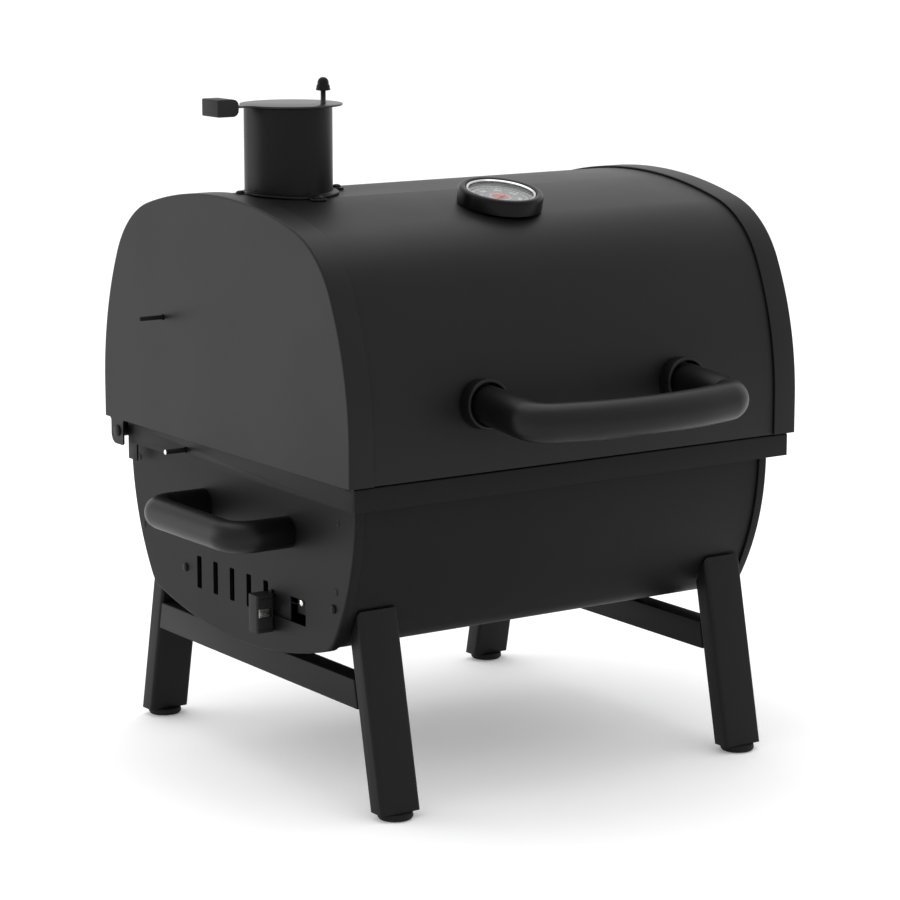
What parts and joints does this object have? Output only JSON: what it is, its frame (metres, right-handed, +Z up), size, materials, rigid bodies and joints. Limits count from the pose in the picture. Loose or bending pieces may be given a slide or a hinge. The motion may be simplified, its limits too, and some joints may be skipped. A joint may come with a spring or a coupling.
{
  "type": "table-top barrel charcoal grill",
  "caption": "Small barrel charcoal grill on splayed legs with a hinged lid, chimney damper, lid thermometer, sliding vent, grates and a levelling warming rack.",
  "frame": {"origin": "centre of the bounding box's bottom face, on the surface the four feet stand on", "axes": "+Z up, -Y the front with the lid handle, -X the end with the vents and chimney"},
  "size_m": [0.5226, 0.489, 0.5581],
  "materials": {
    "black_coat": "fine satin black powder coat",
    "handle_satin": "satin black coat",
    "grip_plastic": "matte black moulded",
    "zinc_wire": "bright zinc-plated wire",
    "enamel": "black enamel over iron",
    "bright_steel": "bright steel",
    "dial_face": "matte grey printed dial",
    "needle_red": "satin red",
    "gauge_glass": "clear",
    "foot_plastic": "matte black"
  },
  "bodies": {
    "stand": {"firebox_trough": "black_coat", "firebox_end_left": "black_coat", "firebox_end_right": "black_coat", "rim_front": "black_coat", "rim_back": "black_coat", "rim_left": "black_coat", "rim_right": "black_coat", "leg_front_left": "black_coat", "leg_front_right": "black_coat", "leg_back_left": "black_coat", "leg_back_right": "black_coat", "cross_bar_left": "black_coat", "cross_bar_right": "black_coat", "foot_front_left": "foot_plastic", "foot_front_right": "foot_plastic", "foot_back_left": "foot_plastic", "foot_back_right": "foot_plastic", "grate_rail_front": "black_coat", "grate_rail_back": "black_coat", "charcoal_rest_front": "black_coat", "charcoal_rest_back": "black_coat", "shutter_rail_low": "black_coat", "shutter_rail_top": "black_coat", "carry_handle_left": "handle_satin", "carry_handle_right": "handle_satin", "hinge_pin_left": "bright_steel", "hinge_pin_right": "bright_steel"},
    "shutter": {"vent_shutter": "black_coat", "shutter_grip": "grip_plastic"},
    "lid": {"lid_sheet": "black_coat", "lid_end_left": "black_coat", "lid_end_right": "black_coat", "lid_handle": "handle_satin", "handle_cup_left": "handle_satin", "handle_cup_right": "handle_satin", "chimney_stack": "black_coat", "chimney_flange": "black_coat", "flange_screw_1": "bright_steel", "flange_screw_2": "bright_steel", "flange_screw_3": "bright_steel", "flange_screw_4": "bright_steel", "stud_bracket": "black_coat", "damper_stud": "bright_steel", "acorn_nut": "black_coat", "thermometer_housing": "grip_plastic", "thermometer_dial": "dial_face", "thermometer_lens": "gauge_glass", "thermometer_ring": "bright_steel", "thermometer_stem": "bright_steel"},
    "damper": {"damper_disc": "black_coat", "damper_grip": "grip_plastic"},
    "needle": {"thermometer_needle": "needle_red"},
    "rack": {"warming_rack": "zinc_wire"},
    "rack_legs": {"swing_leg_left": "zinc_wire", "swing_leg_right": "zinc_wire"},
    "cooking_grate": {"cooking_grate": "enamel"},
    "charcoal_grate": {"charcoal_grate": "enamel"}
  },
  "joints": [
    {"name": "lid_hinge", "type": "hinge", "parent": "stand", "child": "lid", "pos_m": [0, 0.21898, 0.255], "axis": [-1, 0, 0], "range_deg": [0, 92]},
    {"name": "rack_level", "type": "hinge", "parent": "lid", "child": "rack", "pos_m": [0, 0.13667, 0.3613], "axis": [-1, 0, 0], "range_deg": [-92, 0]},
    {"name": "rack_swing", "type": "hinge", "parent": "stand", "child": "rack_legs", "pos_m": [0, 0.11267, 0.2545], "axis": [-1, 0, 0], "range_deg": [0, 92]},
    {"name": "damper_swivel", "type": "hinge", "parent": "lid", "child": "damper", "pos_m": [-0.1241, 0.03497, 0.5358], "axis": [0, 0, 1], "range_deg": [-150, 150]},
    {"name": "vent_slide", "type": "slide", "parent": "stand", "child": "shutter", "axis": [0, -1, 0], "range_m": [0, 0.01335]},
    {"name": "needle_turn", "type": "hinge", "parent": "lid", "child": "needle", "pos_m": [-0.0093, -0.04462, 0.45647], "axis": [0, 0.2164, -0.9763], "range_deg": [0, 250]},
    {"name": "cooking_grate_lift", "type": "slide", "parent": "stand", "child": "cooking_grate", "axis": [0, 0, 1], "range_m": [0, 0.05]},
    {"name": "charcoal_grate_lift", "type": "slide", "parent": "stand", "child": "charcoal_grate", "axis": [0, 0, 1], "range_m": [0, 0.04]}
  ],
  "couplings": [
    {"joint": "rack_level", "follows": "lid_hinge", "ratio": -1},
    {"joint": "rack_swing", "follows": "lid_hinge", "ratio": 1}
  ]
}
